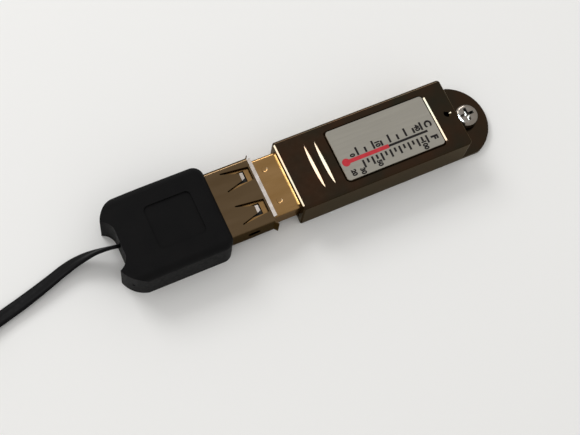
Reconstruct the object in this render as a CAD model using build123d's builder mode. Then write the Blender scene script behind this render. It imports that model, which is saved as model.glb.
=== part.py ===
# A metal plug-in thermometer and humidity stick, mated with the socket of a short flat extension lead.
# Millimetres. X runs along the stick towards its tail tab, Y across it, and Z up from the table.
import math
import os

from build123d import *

# Connector plug, a folded sheet tube round a contact tongue
plug_width = 12.0
plug_height = 4.5
plug_sheet = 0.3
plug_corner = 0.7
plug_reach = 13.2
plug_inside = 3.4
plug_lead_in = 0.12
window_length = 2.0
window_width = 2.3
window_pitch = 6.9
window_from_tip = 5.2
dimple_radius = 0.6
dimple_depth = 0.14
dimple_from_back = 3.2
dimple_pitch = 6.7
dimple_slope = 45.0
tongue_height = 1.9
tongue_setback = 0.4
tongue_lead_in = 0.35
contact_width = 1.0
contact_sheet = 0.2
inner_contact_pitch = 2.0
outer_contact_pitch = 7.0
inner_contact_setback = 2.1
outer_contact_setback = 1.1
contact_solder = 1.8
fit = 0.04
overrun = 1.0

# Stick housing, a deep cast cover over a base plate with a tail tab
plug_showing = 5.0
housing_length = 35.5
housing_width = 14.5
stick_height = 7.65
cover_wall = 1.0
cover_roof = 1.2
cover_corner = 0.7
cover_edge = 0.7
cover_front_edge = 0.25
slot_clearance = 0.06
base_thickness = 1.0
base_corner = 0.3
base_edge = 0.2
tab_reach = 8.0
tab_radius = 7.8
tab_corner = 1.2
boss_radius = 2.1
boss_height = 0.4
boss_from_tail = 3.7
label_width = 10.6
label_from_front = 10.0
label_from_tail = 5.0
label_thickness = 0.3
label_corner = 0.6
recess_depth = 0.45
recess_margin = 0.1
recess_bevel = 0.4
grip_length = 9.7
grip_width = 1.3
grip_height = 0.25
grip_root = 0.05
grip_pitch = 2.1
grip_from_front = 5.55
grip_count = 2
vent_radius = 0.45
vent_flare = 0.75
vent_flare_angle = 90.0
vent_from_tail = 1.9

# Tail screw, a pan head with a cross recess
screw_radius = 1.25
screw_head_radius = 2.35
screw_head_height = 1.6
screw_head_rim = 0.7
screw_clearance = 0.06
cross_length = 2.7
cross_width = 0.6
cross_depth = 0.9
cross_taper = 12.0
screw_point = 0.3
screw_crown_radius = 1.5

# Circuit board and what is soldered to it
board_thickness = 1.0
board_gap = 0.15
board_nose_gap = 0.3
board_corner = 0.4
ledge_width = 0.9
ledge_clearance = 0.06
ledge_setback = 0.4
sensor_side = 2.0
sensor_height = 1.0
sensor_port_radius = 0.35
sensor_port_depth = 0.4
sensor_margin = 0.15
controller_length = 6.0
controller_width = 4.0
controller_height = 1.5
controller_stand = 0.15
controller_bevel = 0.3
controller_place_share = 0.366
lead_count = 5
lead_pitch = 1.1
lead_width = 0.4
lead_reach = 0.9
lead_thickness = 0.2
lead_rise = 0.7
crystal_length = 3.2
crystal_width = 5.0
crystal_height = 1.1
crystal_edge = 0.2
crystal_place_share = 0.549
chip_length = 1.6
chip_width = 0.8
chip_height = 0.8
chip_pitch = 2.2
chip_column_pitch = 3.6
chip_place_share = 0.704
chip_columns = 2
chip_rows = 3

# Socket shell with spring fingers and a flared mouth
socket_width = 13.5
socket_height = 5.8
socket_sheet = 0.35
socket_corner = 0.9
socket_showing = 9.1
socket_inside = 4.9
lip_run = 0.6
lip_rise = 0.35
side_lip_rise = 0.75
top_lip_width = 12.3
side_lip_height = 3.6
finger_sheet = 0.25
finger_root_width = 3.5
finger_tip_width = 1.2
finger_root_setback = 6.4
finger_bump_setback = 3.0
finger_tip_setback = 2.45
finger_dip = 0.2
finger_flick = 0.12
finger_gap_root_width = 4.0
finger_gap_mouth_width = 2.7
finger_gap_setback = 0.95
side_hole_length = 2.4
side_hole_height = 1.2
side_hole_setback = 4.6

# Insulator and spring contacts of the socket
insulator_tongue_height = 1.35
insulator_tongue_width = 11.0
insulator_tongue_setback = 1.0
insulator_roof_gap = 0.12
insulator_edge = 0.25
contact_bow = 0.2
contact_bow_length = 3.0
contact_bow_setback = 3.4
contact_tip_setback = 1.5
contact_tail = 0.6
contact_slot_clearance = 0.03

# Moulded block, the same on both ends of the lead
block_length = 20.9
block_width = 17.2
block_height = 7.8
block_front_corner = 2.1
block_shoulder_setback = 3.9
block_shoulder_bulge = 0.7
block_tip_spread = 9.9
block_flat_length = 10.0
block_rear_drop = 0.75
block_top_edge = 1.4
notch_depth = 1.9
notch_floor_width = 4.6
notch_bulge = 0.5
panel_length = 9.1
panel_width = 8.8
panel_corner = 1.0
panel_depth = 0.3
panel_from_front = 3.9
pocket_clearance = 0.04
gate_radius = 0.3
gate_height_share = 0.45
gate_along_share = 0.5

# Flat cord, its put-away hank and the strap round it
cord_width = 2.8
cord_sides = 8
hank_length = 48.0
hank_width = 24.5
hank_height = 3.0
hank_gap = 31.3
hank_y = 4.0
strap_width = 7.0
strap_sheet = 0.5
strap_clearance = 0.06
strap_from_middle = 4.0
far_plug_showing = 12.0
far_plug_inside = 3.4
far_plug_gap = 5.0
far_plug_y = 0.4
bend_share = 0.45

# Places that follow from the sizes
block_reach = socket_showing + block_length
stick_reach = plug_showing + housing_length + tab_reach
mouth_x = (block_reach - stick_reach) / 2
housing_front = mouth_x + plug_showing
housing_tail = housing_front + housing_length
housing_middle = (housing_front + housing_tail) / 2
block_front = mouth_x - socket_showing
axis_z = block_height / 2
plug_inner_width = plug_width - 2 * plug_sheet
plug_inner_height = plug_height - 2 * plug_sheet
pad_top = -plug_inner_height / 2 + tongue_height
contact_rows = [
    (-outer_contact_pitch / 2, outer_contact_setback),
    (-inner_contact_pitch / 2, inner_contact_setback),
    (inner_contact_pitch / 2, inner_contact_setback),
    (outer_contact_pitch / 2, outer_contact_setback),
]
label_length = housing_length - label_from_front - label_from_tail
cavity_length = housing_length - 2 * cover_wall
cavity_width = housing_width - 2 * cover_wall
board_top = axis_z + pad_top - contact_sheet
board_bottom = board_top - board_thickness
ledge_front = housing_front + plug_inside + ledge_setback
board_tail = housing_tail - cover_wall - board_gap
boss_x = housing_tail + boss_from_tail
boss_top = base_thickness + boss_height
socket_inner_width = socket_width - 2 * socket_sheet
socket_inner_height = socket_height - 2 * socket_sheet
quarter_turn = 90
half_turn = 2 * quarter_turn
hank_x = block_front - block_length - hank_gap - hank_length / 2
hank_middle_z = strap_sheet + strap_clearance + hank_height / 2
far_block_front = hank_x - hank_length / 2 - far_plug_gap - block_length


def write(part, label):
    """Labels one finished piece and writes it as its own file."""
    part.label = label
    os.makedirs("parts", exist_ok=True)
    export_step(part, f"parts/{label}.step")


def placed(part, x, y, z):
    """A copy of a piece moved to its place in the assembly."""
    with BuildPart() as moved:
        with Locations((x, y, z)):
            add(part)
    return moved.part


def plug_shell(reach, inside):
    """The plug's folded tube, its back face of the housing at X = 0 and its tip at X = -reach."""
    with BuildPart() as shell:
        with BuildSketch(Plane.YZ.offset(-reach)):
            RectangleRounded(plug_width, plug_height, plug_corner)
        extrude(amount=reach + inside)
        chamfer(shell.faces().sort_by(Axis.X)[0].edges(), plug_lead_in)
        with BuildSketch(Plane.YZ.offset(-reach)):
            RectangleRounded(plug_inner_width, plug_inner_height, plug_corner - plug_sheet)
        extrude(amount=reach + inside, mode=Mode.SUBTRACT)
        with BuildSketch(Plane.XY.offset(-plug_height)):
            for across in (-window_pitch / 2, window_pitch / 2):
                with Locations((window_from_tip - reach, across)):
                    Rectangle(window_length, window_width)
        extrude(amount=2 * plug_height, mode=Mode.SUBTRACT)
        with BuildSketch(Plane.XY.offset(plug_height / 2 - dimple_depth)):
            for across in (-dimple_pitch / 2, dimple_pitch / 2):
                with Locations((-dimple_from_back, across)):
                    Circle(dimple_radius - dimple_depth)
        extrude(amount=overrun, taper=-dimple_slope, mode=Mode.SUBTRACT)
    return shell.part


def plug_tongue(reach, inside):
    """The plug's moulded tongue on the floor of its shell, with a groove for each contact."""
    with BuildPart() as tongue:
        with BuildSketch(Plane.XY.offset(-plug_inner_height / 2 + fit)):
            with Locations(((tongue_setback - reach + inside) / 2, 0)):
                Rectangle(reach - tongue_setback + inside, plug_inner_width - 2 * fit)
        extrude(amount=tongue_height - fit)
        chamfer(tongue.faces().sort_by(Axis.X)[0].edges().sort_by(Axis.Z)[-1], tongue_lead_in)
        fillet(tongue.edges().filter_by(Axis.X).group_by(Axis.Z)[0], plug_corner - plug_sheet)
        for across, setback in contact_rows:
            with BuildSketch(Plane.XY.offset(pad_top - contact_sheet)):
                with Locations(((setback - fit - reach + inside) / 2, across)):
                    Rectangle(reach - setback + fit + inside, contact_width + 2 * fit)
            extrude(amount=overrun, mode=Mode.SUBTRACT)
    return tongue.part


def plug_contact(reach, tail, setback):
    """One flat contact strip, from its groove in the tongue back to its solder pad."""
    with BuildPart() as contact:
        with BuildSketch(Plane.XY.offset(pad_top - contact_sheet)):
            with Locations(((setback - reach + tail) / 2, 0)):
                Rectangle(reach - setback + tail, contact_width)
        extrude(amount=contact_sheet)
        nose = contact.faces().sort_by(Axis.X)[0].edges().sort_by(Axis.Z)[-1]
        chamfer(nose, contact_sheet / 2)
    return contact.part


def block_outline(toward):
    """Plan of the moulded block from its front face at X = 0, its front corners still square."""
    half = block_width / 2
    tip = block_tip_spread / 2
    floor = notch_floor_width / 2
    rear = toward * block_length
    shoulder = toward * (block_length - block_shoulder_setback)
    notch = toward * (block_length - notch_depth)
    with BuildLine() as line:
        for side in (1, -1):
            Polyline((0, 0), (0, side * half), (shoulder, side * half))
            SagittaArc(
                (shoulder, side * half),
                (rear, side * tip),
                side * toward * block_shoulder_bulge,
            )
            SagittaArc((rear, side * tip), (notch, side * floor), -side * toward * notch_bulge)
            Line((notch, side * floor), (notch, 0))
    return line.line


def moulded_block(toward):
    """The block about the connector's axis, its top falling to the rear, front face at X = 0."""
    half = block_width / 2
    rear = toward * block_length
    top = block_height / 2
    with BuildPart() as block:
        with BuildSketch(Plane.XZ.offset(-half)):
            with BuildLine():
                Polyline(
                    (rear, top - block_rear_drop),
                    (rear, -top),
                    (0, -top),
                    (0, top),
                    (toward * block_flat_length, top),
                )
                TangentArc(
                    (toward * block_flat_length, top),
                    (rear, top - block_rear_drop),
                    tangent=(toward, 0),
                )
            make_face()
        extrude(amount=block_width)
        front = block.edges().filter_by(Axis.Z).filter_by(lambda e: abs(e.center().X) < fit)
        fillet(front, block_front_corner)
        upper = block.edges().filter_by(lambda e: e.center().Z > top - block_rear_drop - fit)
        rim = upper.filter_by(lambda e: abs(e.center().Y) > fit or abs(e.center().X) < fit)
        fillet(rim, block_top_edge)
        with BuildSketch(Plane.XY.offset(-top)):
            add(block_outline(toward))
            make_face()
        extrude(amount=block_height, mode=Mode.INTERSECT)
        with BuildSketch(Plane.XY.offset(top - panel_depth)):
            with Locations((toward * (panel_from_front + panel_length / 2), 0)):
                RectangleRounded(panel_length, panel_width, panel_corner)
        extrude(amount=overrun, mode=Mode.SUBTRACT)
    return block.part


def cover():
    """The deep cast cover: bevelled box with a label recess, grip ribs, plug slot and vent."""
    crown_radius = (grip_width**2 / 4 + grip_height**2) / (2 * grip_height)
    ridge_radius = (grip_length**2 / 4 + grip_height**2) / (2 * grip_height)
    with BuildPart() as grip:
        with BuildSketch(Plane.XZ):
            with Locations((0, grip_height - crown_radius)):
                Circle(crown_radius)
        revolve(axis=Axis((0, 0, grip_height - ridge_radius), (1, 0, 0)))
        split(bisect_by=Plane.XY.offset(-grip_root), keep=Keep.TOP)
    with BuildPart() as box:
        with BuildSketch(Plane.XY.offset(base_thickness)):
            with Locations((housing_middle, 0)):
                Rectangle(housing_length, housing_width)
        extrude(amount=stick_height - base_thickness)
        fillet(box.edges().filter_by(Axis.Z).group_by(Axis.X)[-1], cover_corner)
        top_edges = box.faces().sort_by(Axis.Z)[-1].edges().sort_by(Axis.X)[1:]
        fillet(top_edges, cover_edge)
        front = box.faces().sort_by(Axis.X)[0]
        rim = front.edges().filter_by(lambda e: e.center().Z > base_thickness + fit)
        chamfer(rim, cover_front_edge)
        with BuildSketch(Plane.XY.offset(base_thickness)):
            with Locations((housing_middle, 0)):
                Rectangle(cavity_length, cavity_width)
        extrude(amount=stick_height - base_thickness - cover_roof, mode=Mode.SUBTRACT)
        with BuildSketch(Plane.YZ.offset(housing_front)):
            with Locations((0, axis_z)):
                RectangleRounded(
                    plug_width + 2 * slot_clearance,
                    plug_height + 2 * slot_clearance,
                    plug_corner + slot_clearance,
                )
            with Locations((0, axis_z / 2)):
                Rectangle(plug_width + 2 * slot_clearance, axis_z)
        extrude(amount=cover_wall, mode=Mode.SUBTRACT)
        with BuildSketch(Plane.XY.offset(stick_height - recess_depth)):
            with Locations((housing_front + label_from_front + label_length / 2, 0)):
                RectangleRounded(
                    label_length + 2 * recess_margin,
                    label_width + 2 * recess_margin,
                    label_corner + recess_margin,
                )
        extrude(amount=recess_depth, mode=Mode.SUBTRACT)
        chamfer(box.faces().sort_by(Axis.Z)[-1].inner_wires()[0].edges(), recess_bevel)
        with Locations((housing_tail - vent_from_tail, 0, stick_height)):
            CounterSinkHole(vent_radius, vent_flare, cover_roof + recess_depth, vent_flare_angle)
        for number in range(grip_count):
            grip_x = housing_front + grip_from_front + number * grip_pitch
            with Locations((grip_x, 0, stick_height)):
                add(grip.part)
    return box.part


def base_plate():
    """The base plate with its tail tab and screw boss, and the ledge that carries the board."""
    arc_centre = housing_tail + tab_reach - tab_radius
    ledge_length = housing_tail - cover_wall - ledge_clearance - ledge_front
    ledge_outer = cavity_width - 2 * ledge_clearance
    sill_top = axis_z - plug_height / 2 - slot_clearance
    with BuildPart() as plate:
        with BuildSketch() as outline:
            with Locations((arc_centre, 0)):
                Circle(tab_radius)
                Rectangle(2 * tab_radius, housing_width, mode=Mode.INTERSECT)
            with Locations(((housing_front + arc_centre) / 2, 0)):
                Rectangle(arc_centre - housing_front, housing_width)
            fillet(outline.vertices().group_by(Axis.X)[0], base_corner)
            fillet(outline.vertices().filter_by(lambda v: v.X > arc_centre + fit), tab_corner)
        extrude(amount=base_thickness)
        with Locations((boss_x, 0, base_thickness + boss_height / 2)):
            Cylinder(boss_radius, boss_height)
        with BuildSketch(Plane.XY.offset(base_thickness)):
            with Locations((ledge_front + ledge_length / 2, 0)):
                Rectangle(ledge_length, ledge_outer)
                Rectangle(
                    ledge_length - 2 * ledge_width,
                    ledge_outer - 2 * ledge_width,
                    mode=Mode.SUBTRACT,
                )
        extrude(amount=board_bottom - base_thickness)
        with BuildSketch(Plane.XY.offset(base_thickness)):
            with Locations((housing_front + (cover_wall + plug_inside) / 2, 0)):
                Rectangle(cover_wall + plug_inside - ledge_setback, plug_width - 2 * plug_corner)
        extrude(amount=sill_top - base_thickness)
        chamfer(plate.faces().sort_by(Axis.Z)[0].edges(), base_edge)
        with Locations((boss_x, 0, boss_top)):
            Hole(screw_radius + screw_clearance, boss_height + base_thickness)
    return plate.part


def label_plate():
    """The thin face plate that lies in the cover's recess."""
    with BuildPart() as plate:
        with BuildSketch(Plane.XY.offset(stick_height - recess_depth)):
            with Locations((housing_front + label_from_front + label_length / 2, 0)):
                RectangleRounded(label_length, label_width, label_corner)
        extrude(amount=label_thickness)
    return plate.part


def tail_screw():
    """Pan-head screw with a cross recess, its head seated on the boss."""
    crown = boss_top + screw_head_height
    rim = boss_top + screw_head_rim
    with BuildPart() as screw:
        with BuildSketch(Plane.XZ):
            with BuildLine():
                Polyline(
                    (0, base_edge),
                    (screw_radius - screw_point, base_edge),
                    (screw_radius, base_edge + screw_point),
                    (screw_radius, boss_top),
                    (screw_head_radius, boss_top),
                    (screw_head_radius, rim),
                    (screw_crown_radius, crown),
                    (0, crown),
                    close=True,
                )
            make_face()
        revolve(axis=Axis.Z)
        with BuildSketch(Plane.XY.offset(crown)):
            Rectangle(cross_length, cross_width)
            Rectangle(cross_width, cross_length)
        extrude(amount=-cross_depth, taper=cross_taper, mode=Mode.SUBTRACT)
    return placed(screw.part, boss_x, 0, 0)


def circuit_board():
    """The board on its ledge, with a narrow nose that enters the plug's shell."""
    nose_start = housing_front + cover_wall
    nose_width = plug_inner_width - 2 * board_nose_gap
    with BuildPart() as board:
        with BuildSketch(Plane.XY.offset(board_bottom)) as outline:
            with Locations(((ledge_front + board_tail) / 2, 0)):
                Rectangle(board_tail - ledge_front, cavity_width - 2 * board_gap)
            with Locations(((nose_start + ledge_front) / 2, 0)):
                Rectangle(ledge_front - nose_start, nose_width)
            fillet(outline.vertices().group_by(Axis.X)[-1], board_corner)
        extrude(amount=board_thickness)
    return board.part


def sensor_chip():
    """The sensing chip under the vent, with its small port on top."""
    with BuildPart() as chip:
        with Locations((board_tail - sensor_margin - sensor_side / 2, 0, board_top)):
            Box(sensor_side, sensor_side, sensor_height, align=(Align.CENTER, Align.CENTER, Align.MIN))
        chamfer(chip.edges().group_by(Axis.Z)[-1], sensor_margin)
        with Locations((board_tail - sensor_margin - sensor_side / 2, 0, board_top + sensor_height)):
            Hole(sensor_port_radius, sensor_port_depth)
    return chip.part


def controller_chip():
    """The controller in its moulded case, with a row of bent leads along each side."""
    middle = housing_front + controller_place_share * housing_length
    with BuildPart() as chip:
        with BuildSketch(Plane.XY.offset(board_top + controller_stand)):
            with Locations((middle, 0)):
                Rectangle(controller_length, controller_width)
        extrude(amount=controller_height - controller_stand)
        chamfer(chip.faces().sort_by(Axis.Z)[-1].edges(), controller_bevel)
        for side in (1, -1):
            wall = side * controller_width / 2
            foot = side * (controller_width / 2 + lead_reach)
            bend = side * (controller_width / 2 + lead_reach / 2)
            with BuildSketch(Plane.YZ.offset(middle - (lead_count - 1) * lead_pitch / 2)) as lead:
                with BuildLine():
                    Polyline(
                        (wall, board_top + lead_rise),
                        (bend, board_top + lead_rise),
                        (bend, board_top + lead_thickness),
                        (foot, board_top + lead_thickness),
                        (foot, board_top),
                        (bend - side * lead_thickness, board_top),
                        (bend - side * lead_thickness, board_top + lead_rise - lead_thickness),
                        (wall, board_top + lead_rise - lead_thickness),
                        close=True,
                    )
                make_face()
            for number in range(lead_count):
                with Locations((number * lead_pitch, 0, 0)):
                    add(extrude(lead.sketch, amount=lead_width / 2, both=True, mode=Mode.PRIVATE))
    return chip.part


def crystal():
    """The clock crystal in its metal can."""
    with BuildPart() as can:
        with BuildSketch(Plane.XY.offset(board_top)):
            with Locations((housing_front + crystal_place_share * housing_length, 0)):
                Rectangle(crystal_length, crystal_width)
        extrude(amount=crystal_height)
        chamfer(can.faces().sort_by(Axis.Z)[-1].edges(), crystal_edge)
    return can.part


def board_chips():
    """The small two-ended parts on the board, as one group."""
    with BuildPart() as chips:
        with BuildSketch(Plane.XY.offset(board_top)):
            with Locations((housing_front + chip_place_share * housing_length, 0)):
                with GridLocations(chip_column_pitch, chip_pitch, chip_columns, chip_rows):
                    Rectangle(chip_length, chip_width)
        extrude(amount=chip_height)
    return chips.part


def spring_finger():
    """One tapering spring finger about the shell's top face, which dips to a bump and flicks up."""
    with BuildPart() as finger:
        with BuildSketch(Plane.XZ.offset(-finger_root_width)):
            with BuildLine():
                Polyline(
                    (-finger_root_setback, 0),
                    (-finger_bump_setback, -finger_dip),
                    (-finger_tip_setback, finger_flick),
                    (-finger_tip_setback, finger_flick - finger_sheet),
                    (-finger_bump_setback, -finger_dip - finger_sheet),
                    (-finger_root_setback, -finger_sheet),
                    close=True,
                )
            make_face()
        extrude(amount=2 * finger_root_width)
        with BuildSketch(Plane.XY.offset(-overrun)):
            with BuildLine():
                Polyline(
                    (-finger_root_setback, -finger_root_width / 2),
                    (-finger_root_setback, finger_root_width / 2),
                    (-finger_tip_setback, finger_tip_width / 2),
                    (-finger_tip_setback, -finger_tip_width / 2),
                    close=True,
                )
            make_face()
        extrude(amount=2 * overrun, mode=Mode.INTERSECT)
    return finger.part


def socket_lip(inner, rise, width):
    """One flared lip of the mouth, leaning outwards from the shell's wall, about its own middle."""
    with BuildPart() as lip:
        with BuildSketch(Plane.XZ.offset(-width / 2)):
            with BuildLine():
                Polyline(
                    (-lip_run, inner),
                    (0, inner + rise),
                    (0, inner + rise + socket_sheet),
                    (-lip_run, inner + socket_sheet),
                    close=True,
                )
            make_face()
        extrude(amount=width)
    return lip.part


def socket_shell():
    """The socket's folded shell: a tube with four spring fingers, side holes and a flared mouth."""
    finger = spring_finger()
    flat_lip = socket_lip(socket_inner_height / 2, lip_rise, top_lip_width)
    side_lip = socket_lip(socket_inner_width / 2, side_lip_rise, side_lip_height)
    length = socket_showing + socket_inside
    with BuildPart() as shell:
        with BuildSketch(Plane.YZ.offset(-length)):
            RectangleRounded(socket_width, socket_height, socket_corner)
            RectangleRounded(
                socket_inner_width,
                socket_inner_height,
                socket_corner - socket_sheet,
                mode=Mode.SUBTRACT,
            )
        extrude(amount=length - lip_run)
        with BuildSketch(Plane.XY.offset(-socket_height)) as gaps:
            for across in (-window_pitch / 2, window_pitch / 2):
                with BuildLine():
                    Polyline(
                        (-finger_root_setback, across - finger_gap_root_width / 2),
                        (-finger_root_setback, across + finger_gap_root_width / 2),
                        (-finger_gap_setback, across + finger_gap_mouth_width / 2),
                        (-finger_gap_setback, across - finger_gap_mouth_width / 2),
                        close=True,
                    )
                make_face()
        extrude(amount=2 * socket_height, mode=Mode.SUBTRACT)
        with BuildSketch(Plane.XZ.offset(-socket_width)):
            with Locations((-side_hole_setback, 0)):
                SlotOverall(side_hole_length, side_hole_height)
        extrude(amount=2 * socket_width, mode=Mode.SUBTRACT)
        for turn in (0, half_turn):
            face = Location((0, 0, 0), (turn, 0, 0))
            with Locations(face):
                add(flat_lip)
            with Locations(Location((0, 0, 0), (turn + quarter_turn, 0, 0))):
                add(side_lip)
            for across in (-window_pitch / 2, window_pitch / 2):
                with Locations(face * Location((0, across, socket_height / 2))):
                    add(finger)
    return shell.part


def socket_insulator():
    """The socket's moulded insulator: a body that closes the shell and a tongue inside the mouth."""
    roof = socket_inner_height / 2
    tongue_top = plug_inner_height / 2 - insulator_roof_gap
    length = socket_showing + socket_inside
    tongue_length = socket_showing - insulator_tongue_setback
    with BuildPart() as insulator:
        with BuildSketch(Plane.YZ.offset(-length)):
            RectangleRounded(
                socket_inner_width - 2 * fit,
                2 * roof - 2 * fit,
                socket_corner - socket_sheet,
            )
        extrude(amount=socket_inside)
        with BuildSketch(Plane.YZ.offset(-socket_showing)):
            with Locations((0, tongue_top - insulator_tongue_height / 2)):
                Rectangle(insulator_tongue_width, insulator_tongue_height)
        extrude(amount=tongue_length)
        chamfer(insulator.faces().sort_by(Axis.X)[-1].edges(), insulator_edge)
        slot_height = tongue_top - insulator_tongue_height
        for across, _ in contact_rows:
            with BuildSketch(Plane.YZ.offset(-length)):
                with Locations((across, slot_height - contact_sheet / 2)):
                    Rectangle(
                        contact_width + 2 * contact_slot_clearance,
                        contact_sheet + 2 * contact_slot_clearance,
                    )
            extrude(amount=socket_inside, mode=Mode.SUBTRACT)
    return insulator.part


def socket_contact():
    """One spring contact: a strip under the tongue, bowed down towards the plug's pad."""
    top = plug_inner_height / 2 - insulator_roof_gap - insulator_tongue_height
    under = top - contact_sheet
    back = -(socket_showing + socket_inside) + contact_tail
    bow_back = -contact_bow_setback - contact_bow_length / 2
    bow_front = -contact_bow_setback + contact_bow_length / 2
    with BuildPart() as contact:
        with BuildSketch(Plane.XZ.offset(-contact_width / 2)):
            with BuildLine():
                Line((back, top), (bow_back, top))
                ThreePointArc(
                    (bow_back, top),
                    (-contact_bow_setback, top - contact_bow),
                    (bow_front, top),
                )
                Polyline(
                    (bow_front, top),
                    (-contact_tip_setback, top),
                    (-contact_tip_setback, under),
                    (bow_front, under),
                )
                ThreePointArc(
                    (bow_front, under),
                    (-contact_bow_setback, under - contact_bow),
                    (bow_back, under),
                )
                Polyline((bow_back, under), (back, under), (back, top))
            make_face()
        extrude(amount=contact_width)
    return contact.part


def socket_block():
    """The block moulded round the socket, with a pocket for its shell and a gate mark."""
    along = block_length - gate_along_share * block_shoulder_setback
    across = -(block_width / 2 + block_tip_spread / 2) / 2
    slope = Vector(-(block_width - block_tip_spread) / 2, -block_shoulder_setback, 0)
    with BuildPart() as block:
        add(moulded_block(-1))
        with BuildSketch(Plane.YZ):
            RectangleRounded(
                socket_width + 2 * pocket_clearance,
                socket_height + 2 * pocket_clearance,
                socket_corner + pocket_clearance,
            )
        extrude(amount=-socket_inside - pocket_clearance, mode=Mode.SUBTRACT)
        gate_height = (gate_height_share - 1 / 2) * block_height
        gate = Plane(origin=(-along, across, gate_height), z_dir=slope)
        with BuildSketch(gate):
            Circle(gate_radius)
        extrude(amount=block_shoulder_bulge, both=True, mode=Mode.SUBTRACT)
    return placed(block.part, block_front, 0, axis_z)


def far_plug_block():
    """The same block moulded round the plug at the lead's far end."""
    with BuildPart() as block:
        add(moulded_block(1))
        with BuildSketch(Plane.YZ):
            RectangleRounded(
                plug_width + 2 * pocket_clearance,
                plug_height + 2 * pocket_clearance,
                plug_corner + pocket_clearance,
            )
        extrude(amount=far_plug_inside + pocket_clearance, mode=Mode.SUBTRACT)
    return placed(block.part, far_block_front, far_plug_y, axis_z)


def cord_hank():
    """The put-away turns of the flat cord, as one solid of their outer shape."""
    with BuildPart() as hank:
        with BuildSketch(Plane.XY.offset(strap_sheet + strap_clearance)):
            with Locations((hank_x, hank_y)):
                SlotOverall(hank_length, hank_width)
        extrude(amount=hank_height)
    return hank.part


def cord_strap():
    """The strap that closes round the hank."""
    inner_width = hank_width + 2 * strap_clearance
    inner_height = hank_height + 2 * strap_clearance
    with BuildPart() as strap:
        with BuildSketch(Plane.YZ.offset(hank_x + strap_from_middle - strap_width / 2)):
            with Locations((hank_y, hank_middle_z)):
                RectangleRounded(
                    inner_width + 2 * strap_sheet,
                    inner_height + 2 * strap_sheet,
                    strap_sheet,
                )
                Rectangle(inner_width, inner_height, mode=Mode.SUBTRACT)
        extrude(amount=strap_width)
    return strap.part


def cord_radii(points):
    """The largest arc that each corner of a route has room for."""
    radii = []
    for before, corner, after in zip(points, points[1:], points[2:]):
        into = Vector(*corner) - Vector(*before)
        out = Vector(*after) - Vector(*corner)
        half_bend = math.radians(into.get_angle(out)) / 2
        radii.append(bend_share * min(into.length, out.length) / math.tan(half_bend))
    return radii


def cord_tube(points, name):
    """A plain tube of few sides along straight runs joined by tangent arcs."""
    radii = cord_radii(points)
    print(name, "arc radii", [round(r, 1) for r in radii])
    with BuildPart() as tube:
        with BuildLine() as path:
            FilletPolyline(*points, radius=radii)
        with BuildSketch(Plane(origin=path.line @ 0, z_dir=path.line % 0)) as section:
            RegularPolygon(cord_width / 2, cord_sides, major_radius=False)
        sweep()
    length = sum(edge.length for edge in path.edges())
    share = tube.part.volume / (length * section.sketch.area)
    print(name, "length", round(length, 1), "volume share", round(share, 4))
    return tube.part


# The flat cord's route on the table, from the block's notch to the hank
lead_exit = block_front - block_length + notch_depth
lead_route = [
    (lead_exit, 0.5, axis_z),
    (lead_exit - 3.6, 0.5, axis_z),
    (lead_exit - 8.6, 1.9, 1.5),
    (lead_exit - 16.4, -0.9, 1.5),
    (lead_exit - 40.6, -7.4, 2.1),
]
# The last stretch, from the far block's notch over the end of the hank to its inner turn
tail_exit = far_block_front + block_length - notch_depth
tail_route = [
    (tail_exit, far_plug_y, axis_z),
    (tail_exit + 3.9, far_plug_y, axis_z),
    (tail_exit + 8.5, -0.6, 5.4),
    (tail_exit + 16.9, -2.5, 5.2),
    (tail_exit + 24.7, -3.7, 2.7),
]

write(cover(), "cover")
write(base_plate(), "base_plate")
write(label_plate(), "label_plate")
write(tail_screw(), "tail_screw")
write(circuit_board(), "circuit_board")
write(sensor_chip(), "sensor_chip")
write(controller_chip(), "controller_chip")
write(crystal(), "crystal")
write(board_chips(), "board_chips")
write(placed(plug_shell(plug_reach, plug_inside), housing_front, 0, axis_z), "plug_shell")
write(placed(plug_tongue(plug_reach, cover_wall), housing_front, 0, axis_z), "plug_tongue")
write(placed(socket_shell(), mouth_x, 0, axis_z), "socket_shell")
write(placed(socket_insulator(), mouth_x, 0, axis_z), "socket_insulator")
far_shell = plug_shell(far_plug_showing, far_plug_inside)
far_tongue = plug_tongue(far_plug_showing, far_plug_inside)
write(placed(far_shell, far_block_front, far_plug_y, axis_z), "far_plug_shell")
write(placed(far_tongue, far_block_front, far_plug_y, axis_z), "far_plug_tongue")
for number, (across, setback) in enumerate(contact_rows, start=1):
    stick_contact = plug_contact(plug_reach, plug_inside + contact_solder, setback)
    write(placed(stick_contact, housing_front, across, axis_z), f"plug_contact_{number}")
    write(placed(socket_contact(), mouth_x, across, axis_z), f"socket_contact_{number}")
    far_contact = plug_contact(far_plug_showing, far_plug_inside - contact_tail, setback)
    far_across = far_plug_y + across
    write(placed(far_contact, far_block_front, far_across, axis_z), f"far_plug_contact_{number}")
write(socket_block(), "socket_block")
write(far_plug_block(), "far_plug_block")
write(cord_hank(), "cord_hank")
write(cord_strap(), "cord_strap")
write(cord_tube(lead_route, "lead_cord"), "lead_cord")
write(cord_tube(tail_route, "cord_tail"), "cord_tail")
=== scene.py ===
"""The looks of a plug-in thermometer and humidity stick and of its flat extension lead."""
import math

import bmesh
import bpy
from mathutils import Matrix, Quaternion, Vector


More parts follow.
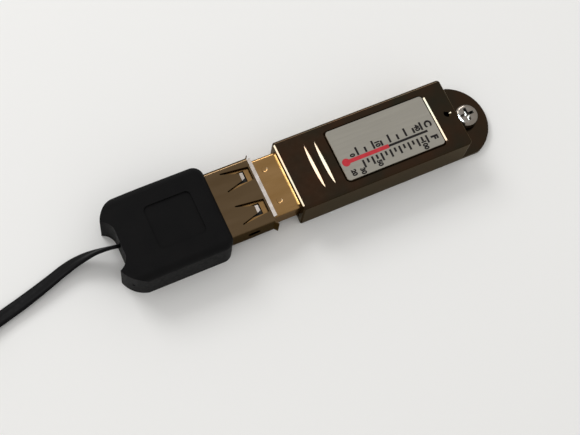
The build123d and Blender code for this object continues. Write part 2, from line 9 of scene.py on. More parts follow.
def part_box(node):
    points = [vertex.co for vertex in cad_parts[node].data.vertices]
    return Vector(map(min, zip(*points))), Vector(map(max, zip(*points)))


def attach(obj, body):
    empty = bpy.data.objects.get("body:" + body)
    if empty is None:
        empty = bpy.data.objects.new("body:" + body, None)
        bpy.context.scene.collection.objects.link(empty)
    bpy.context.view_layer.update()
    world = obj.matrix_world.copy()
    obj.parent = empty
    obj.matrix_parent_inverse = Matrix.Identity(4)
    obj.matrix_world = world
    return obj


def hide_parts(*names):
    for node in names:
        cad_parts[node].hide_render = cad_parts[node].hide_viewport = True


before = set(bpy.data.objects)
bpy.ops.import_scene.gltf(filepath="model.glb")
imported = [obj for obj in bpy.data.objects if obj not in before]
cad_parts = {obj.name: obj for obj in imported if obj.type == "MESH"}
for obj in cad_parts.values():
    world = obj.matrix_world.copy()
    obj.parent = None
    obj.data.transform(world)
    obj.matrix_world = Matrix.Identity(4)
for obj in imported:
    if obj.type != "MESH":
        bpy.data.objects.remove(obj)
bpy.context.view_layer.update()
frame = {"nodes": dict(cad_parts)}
scene = bpy.context.scene
mm = 0.001
quarter = math.radians(90)
full_turn = 4 * quarter
weld = 0.001 * mm


# Finishes, each a shader with its own grain on Object coordinates
noise_low, noise_high = 0.25, 0.75


def finish(name, colour, roughness, metallic=0.0, specular=0.5, rim=(1, 1, 1)):
    """A new material with a plain shader, ready for its grain; rim tints its gloss at low angles."""
    material = bpy.data.materials.new(name)
    material.use_nodes = True
    shader = material.node_tree.nodes["Principled BSDF"]
    shader.inputs["Base Color"].default_value = (*colour, 1)
    shader.inputs["Roughness"].default_value = roughness
    shader.inputs["Metallic"].default_value = metallic
    shader.inputs["Specular IOR Level"].default_value = specular
    shader.inputs["Specular Tint"].default_value = (*rim, 1)
    return material


def grain(material, scale, detail=3.0, stretch=(1, 1, 1)):
    """A noise on Object coordinates, stretched along an axis where the surface was brushed."""
    nodes, links = material.node_tree.nodes, material.node_tree.links
    place = nodes.new("ShaderNodeTexCoord")
    mapping = nodes.new("ShaderNodeMapping")
    mapping.inputs["Scale"].default_value = stretch
    noise = nodes.new("ShaderNodeTexNoise")
    noise.inputs["Scale"].default_value = scale
    noise.inputs["Detail"].default_value = detail
    links.new(place.outputs["Object"], mapping.inputs["Vector"])
    links.new(mapping.outputs["Vector"], noise.inputs["Vector"])
    return noise.outputs["Fac"]


def vary_roughness(material, fac, low, high):
    """Runs the roughness from low to high over the middle of a noise's range."""
    nodes, links = material.node_tree.nodes, material.node_tree.links
    span = nodes.new("ShaderNodeMapRange")
    span.inputs["From Min"].default_value = noise_low
    span.inputs["From Max"].default_value = noise_high
    span.inputs["To Min"].default_value = low
    span.inputs["To Max"].default_value = high
    links.new(fac, span.inputs["Value"])
    links.new(span.outputs["Result"], nodes["Principled BSDF"].inputs["Roughness"])


def blend_colour(material, fac, first, second):
    """Runs the colour from the first to the second over the middle of a noise's range."""
    nodes, links = material.node_tree.nodes, material.node_tree.links
    ramp = nodes.new("ShaderNodeValToRGB")
    ramp.color_ramp.elements[0].position = noise_low
    ramp.color_ramp.elements[0].color = (*first, 1)
    ramp.color_ramp.elements[1].position = noise_high
    ramp.color_ramp.elements[1].color = (*second, 1)
    links.new(fac, ramp.inputs["Fac"])
    links.new(ramp.outputs["Color"], nodes["Principled BSDF"].inputs["Base Color"])


def relief(material, fac, depth):
    """Raises a surface by a pattern, depth in metres."""
    nodes, links = material.node_tree.nodes, material.node_tree.links
    bump = nodes.new("ShaderNodeBump")
    bump.inputs["Strength"].default_value = 1.0
    bump.inputs["Distance"].default_value = depth
    links.new(fac, bump.inputs["Height"])
    links.new(bump.outputs["Normal"], nodes["Principled BSDF"].inputs["Normal"])


def dark_nickel_with_painted_reflection():
    """Black nickel plate over a polished casting: warm, its near-black partly a painted dark
    reflection, with faint red and green clouds of painted reflection.
    """
    # The near-black base colour is partly the plate's own tone and partly a painted reflection of
    # dark surroundings.
    colour, rim = (0.026, 0.018, 0.012), (0.65, 0.60, 0.53)
    material = finish("dark nickel with painted reflection", colour, roughness=0.13, metallic=1.0, rim=rim)
    # Faint red and green clouds in the base colour: painted reflections of the room.
    clouds = grain(material, scale=160, detail=2)
    blend_colour(material, clouds, (0.036, 0.018, 0.010), (0.019, 0.018, 0.012))
    vary_roughness(material, grain(material, scale=900), 0.09, 0.15)
    relief(material, grain(material, scale=420, detail=1), depth=0.003 * mm)
    return material


def warm_gold():
    """Thin gold flash over nickel on the plug's folded sheet."""
    colour, rim = (0.250, 0.146, 0.058), (0.5, 0.5, 0.5)
    material = finish("warm gold plate", colour, roughness=0.2, metallic=1.0, rim=rim)
    streaks = grain(material, scale=700, stretch=(0.15, 1, 1))
    blend_colour(material, streaks, (0.226, 0.129, 0.047), (0.274, 0.163, 0.069))
    vary_roughness(material, grain(material, scale=1500, stretch=(0.2, 1, 1)), 0.16, 0.28)
    relief(material, grain(material, scale=500, detail=2), depth=0.003 * mm)
    return material


def nickel_with_painted_dark_reflection():
    """Nickel plate on the socket's rolled sheet, its brownish dark colour a painted reflection of
    dark surroundings.
    """
    # The dark brown base colour and its streaks are a painted reflection of dark surroundings.
    colour, rim = (0.098, 0.064, 0.034), (0.4, 0.4, 0.39)
    material = finish("nickel with painted dark reflection", colour, roughness=0.16, metallic=1.0, rim=rim)
    streaks = grain(material, scale=500, stretch=(0.2, 1, 1))
    blend_colour(material, streaks, (0.088, 0.057, 0.029), (0.109, 0.073, 0.040))
    vary_roughness(material, grain(material, scale=1200, stretch=(0.2, 1, 1)), 0.12, 0.22)
    relief(material, grain(material, scale=420, detail=2), depth=0.003 * mm)
    return material


def bright_steel():
    """Turned and tumbled steel of the tail screw."""
    colour, rim = (0.21, 0.185, 0.16), (0.7, 0.7, 0.7)
    material = finish("bright steel", colour, roughness=0.16, metallic=1.0, rim=rim)
    vary_roughness(material, grain(material, scale=1400), 0.10, 0.24)
    relief(material, grain(material, scale=900, detail=2), depth=0.004 * mm)
    return material


def label_foil():
    """Satin grey face of the label, faintly brushed along the stick."""
    material = finish("label foil", (0.280, 0.264, 0.226), roughness=0.42, metallic=0.2)
    brushed = grain(material, scale=2200, detail=4, stretch=(0.05, 1, 1))
    blend_colour(material, brushed, (0.262, 0.247, 0.211), (0.298, 0.281, 0.241))
    vary_roughness(material, brushed, 0.32, 0.46)
    relief(material, brushed, depth=0.0015 * mm)
    return material


def printing_ink(name, colour):
    """Screen-printed ink, a little paler where it lies thin on the brushed face."""
    thin_share = 1.25
    material = finish(name, colour, roughness=0.45, specular=0.12)
    patches = grain(material, scale=1500)
    blend_colour(material, patches, colour, tuple(thin_share * channel for channel in colour))
    relief(material, patches, depth=0.002 * mm)
    return material


def black_mould():
    """Matt black flexible moulding with fine spark-eroded grain."""
    material = finish("black mould", (0.0052, 0.0051, 0.0053), roughness=0.55, specular=0.05)
    vary_roughness(material, grain(material, scale=1800, detail=4), 0.48, 0.64)
    clouds = grain(material, scale=250)
    blend_colour(material, clouds, (0.0045, 0.0045, 0.0048), (0.0060, 0.0058, 0.0059))
    relief(material, grain(material, scale=3200, detail=4), depth=0.012 * mm)
    return material


def black_cord():
    """Smooth black insulation of the flat cord."""
    material = finish("black cord", (0.0040, 0.0039, 0.0043), roughness=0.42, specular=0.05)
    clouds = grain(material, scale=300)
    blend_colour(material, clouds, (0.0034, 0.0033, 0.0037), (0.0046, 0.0044, 0.0049))
    vary_roughness(material, grain(material, scale=1500), 0.36, 0.5)
    relief(material, grain(material, scale=2500, detail=2), depth=0.006 * mm)
    return material


def black_strap():
    """Knitted loop tape: a mat of small curled fibres."""
    material = finish("black strap", (0.014, 0.014, 0.015), roughness=0.9, specular=0.2)
    loops = grain(material, scale=2600, detail=6)
    blend_colour(material, loops, (0.008, 0.008, 0.009), (0.024, 0.024, 0.026))
    relief(material, loops, depth=0.12 * mm)
    return material


def black_insulator():
    """Glossy black resin of the tongues inside the connectors."""
    material = finish("black insulator", (0.010, 0.010, 0.010), roughness=0.35, specular=0.3)
    vary_roughness(material, grain(material, scale=1200), 0.28, 0.42)
    relief(material, grain(material, scale=1500), depth=0.005 * mm)
    return material


def contact_gold():
    """Gold plate on the contact strips."""
    material = finish("contact gold", (0.60, 0.36, 0.11), roughness=0.22, metallic=1.0)
    vary_roughness(material, grain(material, scale=1800, stretch=(0.15, 1, 1)), 0.16, 0.3)
    blend_colour(material, grain(material, scale=400), (0.56, 0.33, 0.10), (0.64, 0.40, 0.13))
    return material


def board_laminate():
    """Green solder mask over glass laminate."""
    material = finish("board laminate", (0.012, 0.075, 0.028), roughness=0.35)
    weave = grain(material, scale=1500, stretch=(1, 1, 0.2))
    blend_colour(material, weave, (0.010, 0.065, 0.024), (0.015, 0.088, 0.033))
    relief(material, weave, depth=0.01 * mm)
    return material


def chip_mould():
    """Grey-black moulding compound of the chips."""
    material = finish("chip mould", (0.018, 0.018, 0.019), roughness=0.55, specular=0.3)
    specks = grain(material, scale=2500)
    blend_colour(material, specks, (0.014, 0.014, 0.015), (0.024, 0.024, 0.025))
    relief(material, grain(material, scale=3000), depth=0.01 * mm)
    return material


def chip_ceramic():
    """Fired ceramic of the small chips, tan and slightly speckled."""
    material = finish("chip ceramic", (0.28, 0.20, 0.13), roughness=0.5)
    blend_colour(material, grain(material, scale=3000), (0.24, 0.17, 0.11), (0.34, 0.25, 0.17))
    relief(material, grain(material, scale=2500), depth=0.006 * mm)
    return material


finishes = {
    "nickel": dark_nickel_with_painted_reflection(),
    "gold": warm_gold(),
    "socket": nickel_with_painted_dark_reflection(),
    "steel": bright_steel(),
    "foil": label_foil(),
    "mould": black_mould(),
    "cord": black_cord(),
    "strap": black_strap(),
    "resin": black_insulator(),
    "contact": contact_gold(),
    "board": board_laminate(),
    "chip": chip_mould(),
    "ceramic": chip_ceramic(),
    "black ink": printing_ink("black ink", (0.012, 0.010, 0.010)),
    "red ink": printing_ink("red ink", (0.43, 0.030, 0.040)),
}
dressing = {
    "nickel": ["cover", "base_plate"],
    "gold": ["plug_shell", "far_plug_shell"],
    "socket": ["socket_shell"],
    "steel": ["tail_screw", "crystal"],
    "foil": ["label_plate"],
    "mould": ["socket_block", "far_plug_block"],
    "cord": ["cord_hank", "lead_cord", "cord_tail"],
    "strap": ["cord_strap"],
    "resin": ["plug_tongue", "far_plug_tongue", "socket_insulator"],
    "board": ["circuit_board"],
    "chip": ["controller_chip", "sensor_chip"],
    "ceramic": ["board_chips"],
    "contact": [
        f"{kind}_contact_{number}"
        for kind in ("plug", "socket", "far_plug")
        for number in range(1, 5)
    ],
}
for look, names in dressing.items():
    for name in names:
        node = frame["nodes"][name]
        node.data.materials.clear()
        node.data.materials.append(finishes[look])


# What every new piece is made with
def stand(mesh, name, look, body):
    """Makes a finished mesh a piece of the object that rides on its body."""
    mesh.materials.clear()
    mesh.materials.append(finishes[look])
    piece = bpy.data.objects.new(name, mesh)
    scene.collection.objects.link(piece)
    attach(piece, body)
    return piece


def mesh_of(shape, name, smooth=True):
    """Closes a bmesh into a mesh with its faces outwards."""
    bmesh.ops.remove_doubles(shape, verts=shape.verts, dist=weld)
    bmesh.ops.recalc_face_normals(shape, faces=shape.faces)
    for face in shape.faces:
        face.smooth = smooth
    mesh = bpy.data.meshes.new(name)
    shape.to_mesh(mesh)
    shape.free()
    return mesh


def spin_profile(shape, profile, centre, steps):
    """Turns a profile, points across and up, once round the upright axis through a centre."""
    ring = [shape.verts.new(centre + Vector((across, 0, up))) for across, up in profile]
    edges = [shape.edges.new(pair) for pair in zip(ring, ring[1:])]
    bmesh.ops.spin(
        shape,
        geom=ring + edges,
        cent=centre,
        axis=(0, 0, 1),
        angle=full_turn,
        steps=steps,
        use_merge=True,
    )


def extruded_end(shape, edges):
    """Extrudes edges in place: the new vertices, and the edges between them."""
    made = bmesh.ops.extrude_edge_only(shape, edges=edges)["geom"]
    verts = [item for item in made if isinstance(item, bmesh.types.BMVert)]
    end = [
        item
        for item in made
        if isinstance(item, bmesh.types.BMEdge) and all(vert in verts for vert in item.verts)
    ]
    return verts, end


# The print: places run along the label from its cord-side end and across from its middle line
label_low, label_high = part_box("label_plate")
ink_depth = 0.04 * mm
column_across = -1.75 * mm
column_width = 0.78 * mm
column_reach = 10.1 * mm
bulb_along = 1.15 * mm
bulb_radius = 0.8 * mm
bulb_step = 0.003 * mm
line_width = 0.45 * mm
line_reach = 18.4 * mm
tick_width = 0.4 * mm
upper_ticks = {
    "side": 1,
    "gap": 0.5 * mm,
    "first": 4.0 * mm,
    "pitch": 1.7 * mm,
    "count": 9,
    "long": 1.7 * mm,
    "short": 1.1 * mm,
}
lower_ticks = {
    "side": -1,
    "gap": 0.72 * mm,
    "first": 4.22 * mm,
    "pitch": 0.955 * mm,
    "count": 15,
    "long": 1.6 * mm,
    "short": 0.9 * mm,
}
digit_height = 0.9 * mm
letter_height = 1.3 * mm
capital_share = 0.7
ink_spread_share = 0.08
figures = [
    ("0", 2.83 * mm, -0.87 * mm, digit_height),
    ("10", 8.25 * mm, -0.5 * mm, digit_height),
    ("40", 16.75 * mm, -0.45 * mm, digit_height),
    ("20", 1.65 * mm, -4.15 * mm, digit_height),
    ("30", 3.4 * mm, -4.5 * mm, digit_height),
    ("50", 7.05 * mm, -4.25 * mm, digit_height),
    ("100", 16.65 * mm, -4.2 * mm, digit_height),
    ("C", 19.0 * mm, -0.4 * mm, letter_height),
    ("F", 19.0 * mm, -3.4 * mm, letter_height),
]


def on_label(along, across):
    """A place on the label's face."""
    return Vector((label_low.x + along, (label_low.y + label_high.y) / 2 + across, label_high.z))


def bar(shape, along, across, length, width):
    """Adds one printed bar, its middle at a place of the label."""
    size = Vector((length, width, ink_depth))
    matrix = Matrix.LocRotScale(on_label(along, across), None, size)
    bmesh.ops.create_cube(shape, size=1, matrix=matrix)


def dot(shape, along, across, radius):
    """Adds one printed dot, a step prouder than the bar that it overlaps."""
    bmesh.ops.create_cone(
        shape,
        cap_ends=True,
        segments=40,
        radius1=radius,
        radius2=radius,
        depth=ink_depth + 2 * bulb_step,
        matrix=Matrix.Translation(on_label(along, across)),
    )


def ticks(shape, side, gap, first, pitch, count, long, short):
    """Adds the ticks on one side of the column, long and short by turns."""
    for number in range(count):
        length = short if number % 2 else long
        across = column_across + side * (gap + length / 2)
        bar(shape, first + number * pitch, across, tick_width, length)


def lettering(text, along, across, height):
    """One figure of the scale as a mesh, its top towards the tail of the stick."""
    words = bpy.data.curves.new("figure", "FONT")
    words.body = text
    words.size = height / capital_share
    words.align_x = "CENTER"
    words.align_y = "CENTER"
    words.offset = ink_spread_share * height
    words.extrude = ink_depth / 2
    words.resolution_u = 6
    holder = bpy.data.objects.new("figure", words)
    mesh = bpy.data.meshes.new_from_object(holder)
    upright = Matrix.Rotation(-quarter, 4, "Z")
    mesh.transform(Matrix.Translation(on_label(along, across)) @ upright)
    bpy.data.objects.remove(holder)
    return mesh


def red_column():
    """The red bulb and column of the printed thermometer."""
    shape = bmesh.new()
    dot(shape, bulb_along, column_across, bulb_radius)
    length = column_reach - bulb_along
    bar(shape, bulb_along + length / 2, column_across, length, column_width)
    mesh = mesh_of(shape, "red_column", smooth=False)
    stand(mesh, "red_column", "red ink", "stick")


def printed_scale():
    """The black line beyond the column, the ticks of both scales and their figures."""
    shape = bmesh.new()
    length = line_reach - column_reach
    bar(shape, column_reach + length / 2, column_across, length, line_width)
    ticks(shape, **upper_ticks)
    ticks(shape, **lower_ticks)
    for figure in figures:
        shape.from_mesh(lettering(*figure))
    mesh = mesh_of(shape, "printed_scale", smooth=False)
    stand(mesh, "printed_scale", "black ink", "stick")


# The tail screw, a turned pan head with a cross recess
def pan_screw():
    """Spins the head and shank, then sinks the cross into the head's flat."""
    low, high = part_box("tail_screw")
    middle = Vector(((low.x + high.x) / 2, (low.y + high.y) / 2, 0))
    head_radius = (high.x - low.x) / 2
    head_height, rim_height = 1.6 * mm, 0.7 * mm
    flat_share = 0.62
    shank_radius, point = 1.25 * mm, 0.3 * mm
    cross_reach, cross_half = 1.35 * mm, 0.3 * mm
    cross_depth, cross_taper = 0.9 * mm, 0.72
    crown_steps, round_steps = 8, 64
    sharp_angle = math.radians(32)
    boss_top = high.z - head_height
    rim = boss_top + rim_height
    flat_radius = flat_share * head_radius
    profile = [
        (shank_radius - point, low.z),
        (shank_radius, low.z + point),
        (shank_radius, boss_top),
        (head_radius, boss_top),
        (head_radius, rim),
    ]
    for step in range(1, crown_steps + 1):
        turn = quarter * step / crown_steps
        across = flat_radius + (head_radius - flat_radius) * math.cos(turn)
        profile.append((across, rim + (high.z - rim) * math.sin(turn)))
    shape = bmesh.new()
    spin_profile(shape, profile, Vector((0, 0, 0)), round_steps)
    bmesh.ops.remove_doubles(shape, verts=shape.verts, dist=weld)
    open_rims = [edge for edge in shape.edges if edge.is_boundary]
    tip = [edge for edge in open_rims if edge.verts[0].co.z < boss_top]
    crown = [edge for edge in open_rims if edge.verts[0].co.z > rim]
    bmesh.ops.holes_fill(shape, edges=tip)
    arm = [(cross_reach, cross_half), (cross_half, cross_half), (cross_half, cross_reach)]
    outline = []
    for number in range(4):
        spin = Matrix.Rotation(number * quarter, 3, "Z")
        for x, y in arm:
            outline.append(shape.verts.new(spin @ Vector((x, y, 0)) + Vector((0, 0, high.z))))
    cross = [shape.edges.new((outline[index - 1], vert)) for index, vert in enumerate(outline)]
    bmesh.ops.triangle_fill(shape, edges=crown + cross, use_beauty=True, normal=(0, 0, 1))
    floor, floor_edges = extruded_end(shape, cross)
    for vert in floor:
        vert.co = Vector((vert.co.x * cross_taper, vert.co.y * cross_taper, high.z - cross_depth))
    bmesh.ops.holes_fill(shape, edges=floor_edges)
    bmesh.ops.translate(shape, verts=shape.verts, vec=middle)
    mesh = mesh_of(shape, "pan_screw")
    mesh.set_sharp_from_angle(angle=sharp_angle)
    screw = stand(mesh, "pan_screw", "steel", "stick")
    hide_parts("tail_screw")
    return screw


# The dimples of both plugs, shallow bowls pressed into the sheet
def dimple_bowls(name, shell, back, body):
    """Lines the two dimples of a plug with smooth bowls, a set way from the plug's back."""
    low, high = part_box(shell)
    from_back, pitch = 3.2 * mm, 6.7 * mm
    radius, depth, floor_radius = 0.594 * mm, 0.135 * mm, 0.455 * mm
    skin = 0.004 * mm
    bowl_power = 3
    bowl_steps, round_steps = 9, 36
    sharp_angle = math.radians(60)
    profile = [(0, -depth - skin), (floor_radius, -depth - skin)]
    for step in range(bowl_steps + 1):
        across = 1 - step / bowl_steps
        profile.append((radius * across, -depth * (1 - across**bowl_power)))
    shape = bmesh.new()
    for side in (-1, 1):
        centre = Vector((back - from_back, (low.y + high.y) / 2 + side * pitch / 2, high.z))
        spin_profile(shape, profile, centre, round_steps)
    mesh = mesh_of(shape, name)
    mesh.set_sharp_from_angle(angle=sharp_angle)
    return stand(mesh, name, "gold", body)


# The flat cord: each place of its route in millimetres, with the ribbon's roll in degrees
cord_width = 2.8 * mm
cord_thick = 0.78 * mm
groove_depth = 0.13 * mm
groove_reach = 0.45 * mm
notch_depth = 1.9
lead_exit = (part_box("socket_block")[0].x / mm + notch_depth, 0.5, 3.9)
tail_exit = (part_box("far_plug_block")[1].x / mm - notch_depth, 0.4, 3.9)
lead_route = [
    (*lead_exit, 73),
    (lead_exit[0] - 2.6, 0.95, 3.95, 68),
    (lead_exit[0] - 5.8, 1.55, 2.35, 46),
    (lead_exit[0] - 9.4, 1.45, 1.17, 32),
    (lead_exit[0] - 14.0, -0.1, 1.02, 28),
    (lead_exit[0] - 19.4, -1.75, 0.82, 18),
    (lead_exit[0] - 25.8, -3.4, 0.74, 14),
    (lead_exit[0] - 33.0, -5.6, 1.35, 40),
    (lead_exit[0] - 40.4, -7.3, 1.5, 78),
]
tail_route = [
    (tail_exit[0] + 27.4, -3.4, 1.9, 88),
    (tail_exit[0] + 21.3, -3.6, 3.4, 62),
    (tail_exit[0] + 15.7, -2.7, 4.75, 25),
    (tail_exit[0] + 10.3, -1.2, 4.85, 5),
    (tail_exit[0] + 5.9, 0.1, 4.25, 0),
    (tail_exit[0] + 2.3, 0.4, 3.9, 0),
    (*tail_exit, 0),
]
hank_low, hank_high = (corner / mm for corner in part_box("cord_hank"))
strap_low, strap_high = (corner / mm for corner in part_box("cord_strap"))
hank_x, hank_y = (hank_low.x + hank_high.x) / 2, (hank_low.y + hank_high.y) / 2
hank_straight = (hank_high.x - hank_low.x) - (hank_high.y - hank_low.y)
hank_inset = 0.55
hank_radius = (hank_high.y - hank_low.y) / 2 - hank_inset
lap_pitch = 1.08
lap_count = 4
lap_steps = 12
bend_allowance = 1.035
lap_low, lap_high = 1.45, 2.06
strap_clearance = 3.0
strap_from, strap_to = strap_low.x - strap_clearance, strap_high.x + strap_clearance
on_edge = 90


def hank_route():
    """The laps of the hank on edge, inwards, lifted where the strap passes under them."""
    route = []
    for step in range(lap_count * lap_steps + 1):
        turn = -quarter - full_turn * step / lap_steps
        radius = hank_radius - lap_pitch * step / lap_steps
        on_straight = step % (lap_steps // 2) == 0
        rounding = 1 if on_straight else bend_allowance
        y = hank_y + rounding * radius * math.sin(turn)
        if not on_straight:
            end_x = -hank_straight / 2 if step % lap_steps < lap_steps / 2 else hank_straight / 2
            x = hank_x + end_x + rounding * radius * math.cos(turn)
            route.append((x, y, lap_low, on_edge))
            continue
        ends = [hank_straight / 2, -hank_straight / 2]
        lifts = [strap_to, strap_from]
        if step % lap_steps:
            ends.reverse()
            lifts.reverse()
        stops = [(hank_x + ends[0], lap_low), (lifts[0], lap_high), (lifts[1], lap_high)]
        if step < lap_count * lap_steps:
            stops.append((hank_x + ends[1], lap_low))
        route.extend((stop, y, up, on_edge) for stop, up in stops)
    return route


def signed_power(value, power):
    """Raises the size of a value to a power and keeps its sign."""
    return math.copysign(abs(value) ** power, value)


def cord_section():
    """The cord's section: two cores side by side in one skin, with a groove between them."""
    steps = 28
    end_power, face_power = 0.5, 0.45
    half, thick = cord_width / 2, cord_thick / 2
    section = bpy.data.curves.new("cord_section", "CURVE")
    section.dimensions = "2D"
    spline = section.splines.new("POLY")
    spline.points.add(steps - 1)
    for step, point in enumerate(spline.points):
        turn = full_turn * step / steps
        flat = (half - thick) * math.cos(turn)
        across = flat + thick * signed_power(math.cos(turn), end_power)
        groove = groove_depth * math.exp(-((across / groove_reach) ** 2))
        up = signed_power(math.sin(turn), face_power) * (thick - groove)
        point.co = (across, up, 0, 1)
    spline.use_cyclic_u = True
    holder = bpy.data.objects.new("cord_section", section)
    scene.collection.objects.link(holder)
    return holder


def cord_curve(route):
    """A smooth spline with the route as its control points, and the cord's roll at each."""
    curve = bpy.data.curves.new("flat_cord", "CURVE")
    curve.dimensions = "3D"
    curve.twist_mode = "Z_UP"
    curve.resolution_u = 6
    spline = curve.splines.new("NURBS")
    spline.points.add(len(route) - 1)
    for point, (x, y, z, roll) in zip(spline.points, route):
        point.co = (x * mm, y * mm, z * mm, 1)
        point.tilt = math.radians(roll)
    spline.order_u = 3
    spline.use_endpoint_u = True
    return curve


def flat_cord():
    """The whole lead as one ribbon, with its hank and both ends."""
    curve = cord_curve(lead_route + hank_route() + tail_route)
    holder = bpy.data.objects.new("flat_cord_line", curve)
    scene.collection.objects.link(holder)
    line = bpy.data.meshes.new_from_object(holder)
    section = cord_section()
    curve.bevel_mode = "OBJECT"
    curve.bevel_object = section
    curve.use_fill_caps = True
    bpy.context.view_layer.update()
    swept = holder.evaluated_get(bpy.context.evaluated_depsgraph_get())
    shape = bmesh.new()
    shape.from_mesh(bpy.data.meshes.new_from_object(swept))
    bpy.data.objects.remove(holder)
    bpy.data.objects.remove(section)
    cord = stand(mesh_of(shape, "flat_cord"), "flat_cord", "cord", "lead")
    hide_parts("lead_cord", "cord_hank", "cord_tail")


# The strap round the hank, a loop of tape whose tapered end laps over its start
def run_tape(shape, end, step):
    """Extrudes the tape's end edge by a step, to a new end."""
    verts, end = extruded_end(shape, end)
    bmesh.ops.translate(shape, verts=verts, vec=step)
    return end


def bend_tape(shape, end, centre):
    """Spins the tape's end edge a quarter turn round a corner's centre, to a new end."""
    corner_steps = 6
    made = bmesh.ops.spin(
        shape,
        geom=[vert for edge in end for vert in edge.verts] + end,
        cent=centre,
        axis=(1, 0, 0),
        angle=quarter,
        steps=corner_steps,
    )["geom_last"]
    return [item for item in made if isinstance(item, bmesh.types.BMEdge)]


def hank_strap():
    """Runs one edge of tape round the hank and over its start, then gives it its sheet."""
    low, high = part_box("cord_strap")
    sheet = 0.5 * mm
    corner = 0.9 * mm
    start_offset = 1.5 * mm
    step_up, step_length = 0.53 * mm, 1.2 * mm
    lap_start, lap_length = 1.0 * mm, 8.0 * mm
    end_length, end_taper = 1.3 * mm, 0.55
    inner_low, inner_high = low.z + sheet, high.z - sheet
    left, right = low.y + sheet, high.y - sheet
    start_y = (left + right) / 2 + start_offset
    round_hank = [
        ((0, left + corner - start_y, 0), (0, left + corner, inner_high - corner)),
        ((0, 0, inner_low + 2 * corner - inner_high), (0, left + corner, inner_low + corner)),
        ((0, right - left - 2 * corner, 0), (0, right - corner, inner_low + corner)),
        ((0, 0, inner_high - inner_low - 2 * corner), (0, right - corner, inner_high - corner)),
    ]
    over_start = [
        (0, start_y + lap_start + step_length - right + corner, 0),
        (0, -step_length, step_up),
        (0, -lap_length, 0),
        (0, -end_length, 0),
    ]
    shape = bmesh.new()
    ends = [shape.verts.new((x, start_y, inner_high)) for x in (low.x, high.x)]
    end = [shape.edges.new(ends)]
    for step, centre in round_hank:
        end = run_tape(shape, end, step)
        end = bend_tape(shape, end, centre)
    for step in over_start:
        end = run_tape(shape, end, step)
    middle = Matrix.Translation((-(low.x + high.x) / 2, 0, 0))
    bmesh.ops.scale(shape, verts=list(end[0].verts), vec=(end_taper, 1, 1), space=middle)
    mesh = mesh_of(shape, "hank_strap")
    strap = stand(mesh, "hank_strap", "strap", "lead")
    solid = strap.modifiers.new("sheet", "SOLIDIFY")
    solid.thickness = sheet
    solid.offset = 1
    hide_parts("cord_strap")


red_column()
printed_scale()
screw = pan_screw()
plug_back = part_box("cover")[0].x
far_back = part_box("far_plug_block")[0].x
dimples = [
    dimple_bowls("plug_dimples", "plug_shell", plug_back, "stick"),
    dimple_bowls("far_plug_dimples", "far_plug_shell", far_back, "lead"),
]
hank_strap()
flat_cord()


# Floor, light and camera
def pale_floor():
    """A wide pale floor under the object."""
    shape = bmesh.new()
    bmesh.ops.create_grid(shape, x_segments=1, y_segments=1, size=3.0)
    mesh = bpy.data.meshes.new("pale_floor")
    shape.to_mesh(mesh)
    shape.free()
    mesh.materials.append(finish("pale floor", (0.88, 0.88, 0.87), roughness=0.9, specular=0.2))
    floor = bpy.data.objects.new("pale_floor", mesh)
    scene.collection.objects.link(floor)


def soft_world():
    """Even studio light, a little brighter where a polished surface mirrors it."""
    plain_strength, mirrored_strength = 0.74, 0.9
    world = bpy.data.worlds.new("pale room")
    world.use_nodes = True
    nodes, links = world.node_tree.nodes, world.node_tree.links
    back = nodes["Background"]
    back.inputs["Color"].default_value = (1.0, 0.99, 0.975, 1)
    ray = nodes.new("ShaderNodeLightPath")
    strength = nodes.new("ShaderNodeMapRange")
    strength.inputs["To Min"].default_value = plain_strength
    strength.inputs["To Max"].default_value = mirrored_strength
    links.new(ray.outputs["Is Glossy Ray"], strength.inputs["Value"])
    links.new(strength.outputs["Result"], back.inputs["Strength"])
    scene.world = world


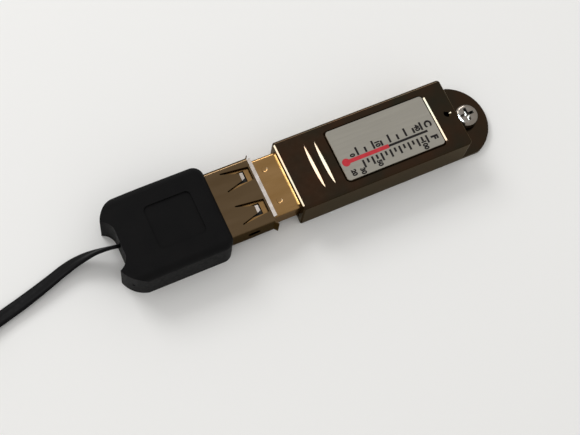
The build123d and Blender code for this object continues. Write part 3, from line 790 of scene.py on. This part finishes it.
def soft_box(name, direction, distance, size, radiance, colour, glints_on=()):
    """An area lamp that faces the stick, of a given radiance; glints_on keeps it to some pieces."""
    width, height = size
    lamp = bpy.data.lights.new(name, "AREA")
    lamp.color = colour
    lamp.shape = "RECTANGLE"
    lamp.size, lamp.size_y = width, height
    lamp.energy = radiance * math.pi * width * height
    holder = bpy.data.objects.new(name, lamp)
    scene.collection.objects.link(holder)
    toward = Vector(direction).normalized()
    holder.location = toward * distance
    holder.rotation_euler = toward.to_track_quat("Z", "Y").to_euler()
    holder.visible_camera = False
    if glints_on:
        holder.visible_diffuse = False
        receivers = bpy.data.collections.new(name)
        for piece in glints_on:
            receivers.objects.link(piece)
        holder.light_linking.receiver_collection = receivers


def studio_lamps(screw, dimples):
    """The key, and strips that draw the thin glints along the edges of the plated pieces."""
    key_distance, strip_distance = 0.7, 0.6
    white, pale_blue, sky_blue = (1, 1, 1), (0.62, 0.82, 1.0), (0.36, 0.52, 0.95)
    nodes = frame["nodes"]
    cast = [nodes["cover"], nodes["base_plate"], screw]
    sheet = [nodes["socket_shell"], nodes["plug_shell"], nodes["far_plug_shell"], *dimples]
    strips = [
        ("rib strip", (-0.52, 0.32, 0.79), (0.36, 0.80), 80, pale_blue, cast),
        ("lip strip", (-0.66, 0.32, 0.68), (0.20, 0.09), 19, sky_blue, sheet),
        ("low strip", (-0.93, 0.29, 0.235), (0.24, 0.09), 70, pale_blue, cast),
        ("edge strip", (0.27, 0.83, 0.49), (0.30, 0.10), 14, white, cast + sheet),
    ]
    soft_box("key", (-0.30, 0.75, 0.62), key_distance, (0.28, 0.28), 7, white)
    for name, direction, size, radiance, colour, glints_on in strips:
        soft_box(name, direction, strip_distance, size, radiance, colour, glints_on)


def photo_camera():
    """The photograph's viewpoint: above the near side, rolled to the left."""
    eye = Vector((-0.058756, -0.070718, 0.209743))
    aim = Vector((-0.005512, -0.005269, 0))
    roll = Quaternion((0, 0, 1), math.radians(15.232))
    data = bpy.data.cameras.new("photo camera")
    data.sensor_width = 36
    data.lens = 74.48
    data.clip_start = 0.01
    holder = bpy.data.objects.new("photo camera", data)
    scene.collection.objects.link(holder)
    holder.location = eye
    holder.rotation_mode = "QUATERNION"
    holder.rotation_quaternion = (aim - eye).to_track_quat("-Z", "Y") @ roll
    scene.camera = holder


pale_floor()
soft_world()
studio_lamps(screw, dimples)
photo_camera()
scene.view_settings.view_transform = "Standard"
